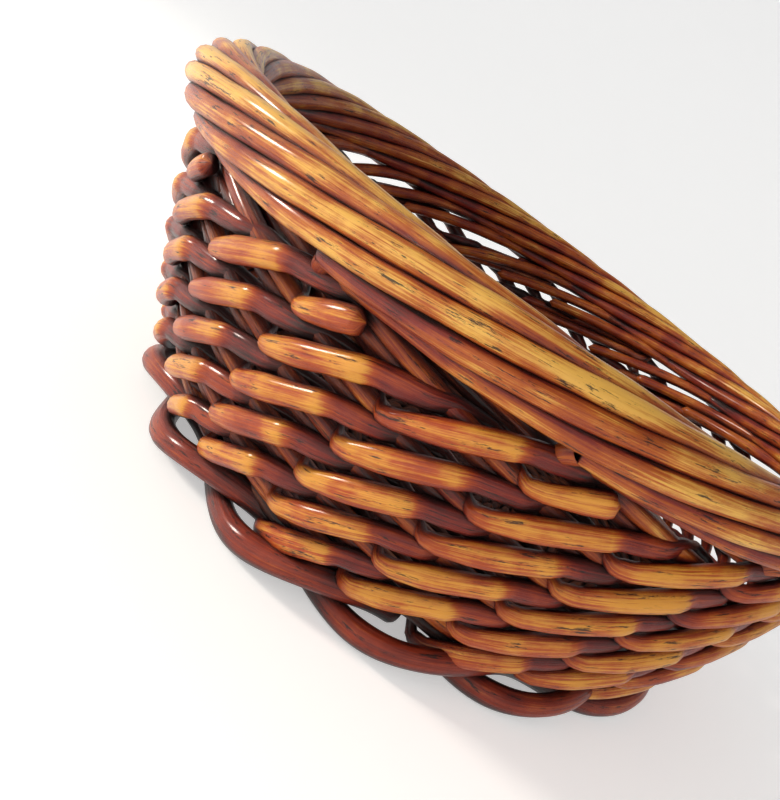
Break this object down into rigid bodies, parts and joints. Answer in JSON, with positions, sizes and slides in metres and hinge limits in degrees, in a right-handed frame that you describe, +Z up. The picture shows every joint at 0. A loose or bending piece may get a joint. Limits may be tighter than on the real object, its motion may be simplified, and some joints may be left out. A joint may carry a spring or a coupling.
{
  "type": "woven fruit basket",
  "caption": "Round bowl-shaped basket of dyed, varnished willow rods with a climbing weave, a thick rolled border and an open rope foot.",
  "frame": {"origin": "centre of the basket's footprint, on the surface it stands on", "axes": "+Z up along the bowl's axis, +X to the right and +Y away from a viewer at the front"},
  "size_m": [0.3194, 0.3194, 0.1196],
  "materials": {
    "stake_willow": "dyed golden to red-brown willow under gloss varnish",
    "weaver_willow": "dyed orange-brown to maroon willow under gloss varnish",
    "foot_willow": "dyed dark red-brown willow under gloss varnish",
    "base_willow": "dyed brown willow under satin varnish"
  },
  "bodies": {
    "root": {"stake_01": "stake_willow", "stake_02": "stake_willow", "stake_03": "stake_willow", "stake_04": "stake_willow", "stake_05": "stake_willow", "stake_06": "stake_willow", "stake_07": "stake_willow", "stake_08": "stake_willow", "stake_09": "stake_willow", "stake_10": "stake_willow", "stake_11": "stake_willow", "stake_12": "stake_willow", "stake_13": "stake_willow", "stake_14": "stake_willow", "stake_15": "stake_willow", "stake_16": "stake_willow", "stake_17": "stake_willow", "stake_18": "stake_willow", "stake_19": "stake_willow", "stake_20": "stake_willow", "stake_21": "stake_willow", "stake_22": "stake_willow", "stake_23": "stake_willow", "stake_24": "stake_willow", "weaver_01": "weaver_willow", "weaver_02": "weaver_willow", "weaver_03": "weaver_willow", "weaver_04": "weaver_willow", "weaver_05": "weaver_willow", "weaver_06": "weaver_willow", "weaver_07": "weaver_willow", "weaver_08": "weaver_willow", "weaver_09": "weaver_willow", "weaver_10": "weaver_willow", "weaver_11": "weaver_willow", "weaver_12": "weaver_willow", "weaver_13": "weaver_willow", "weaver_14": "weaver_willow", "weaver_15": "weaver_willow", "weaver_16": "weaver_willow", "weaver_17": "weaver_willow", "weaver_18": "weaver_willow", "weaver_19": "weaver_willow", "weaver_20": "weaver_willow", "weaver_21": "weaver_willow", "weaver_22": "weaver_willow", "weaver_23": "weaver_willow", "weaver_24": "weaver_willow", "foot_rod_01": "foot_willow", "foot_rod_02": "foot_willow", "foot_rod_03": "foot_willow", "foot_rod_04": "foot_willow", "foot_rod_05": "foot_willow", "base_stick_lower_01": "base_willow", "base_stick_lower_02": "base_willow", "base_stick_upper_01": "base_willow", "base_stick_upper_02": "base_willow", "base_mat": "base_willow"}
  },
  "joints": []
}
